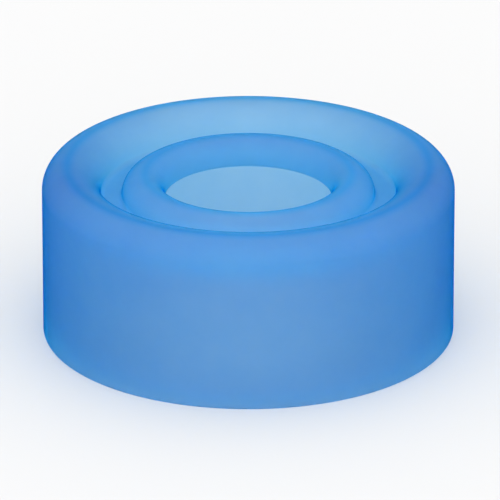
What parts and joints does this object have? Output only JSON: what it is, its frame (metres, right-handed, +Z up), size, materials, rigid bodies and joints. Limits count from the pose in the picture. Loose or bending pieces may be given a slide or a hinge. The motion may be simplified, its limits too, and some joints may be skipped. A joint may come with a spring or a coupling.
{
  "type": "elastomer sealing sleeve",
  "caption": "Soft round sealing sleeve that pushes over a tube's open end: thick wall, rounded rim, and a web with a raised lip round its centre hole.",
  "frame": {"origin": "on the axis, in the plane of the face that it stands on", "axes": "+Z up along the axis of the sleeve, from the open socket towards the lip; X and Y are alike"},
  "size_m": [0.062, 0.062, 0.0264],
  "materials": {
    "silicone": "frosted translucent, blue"
  },
  "bodies": {
    "root": {"sleeve": "silicone"}
  },
  "joints": []
}
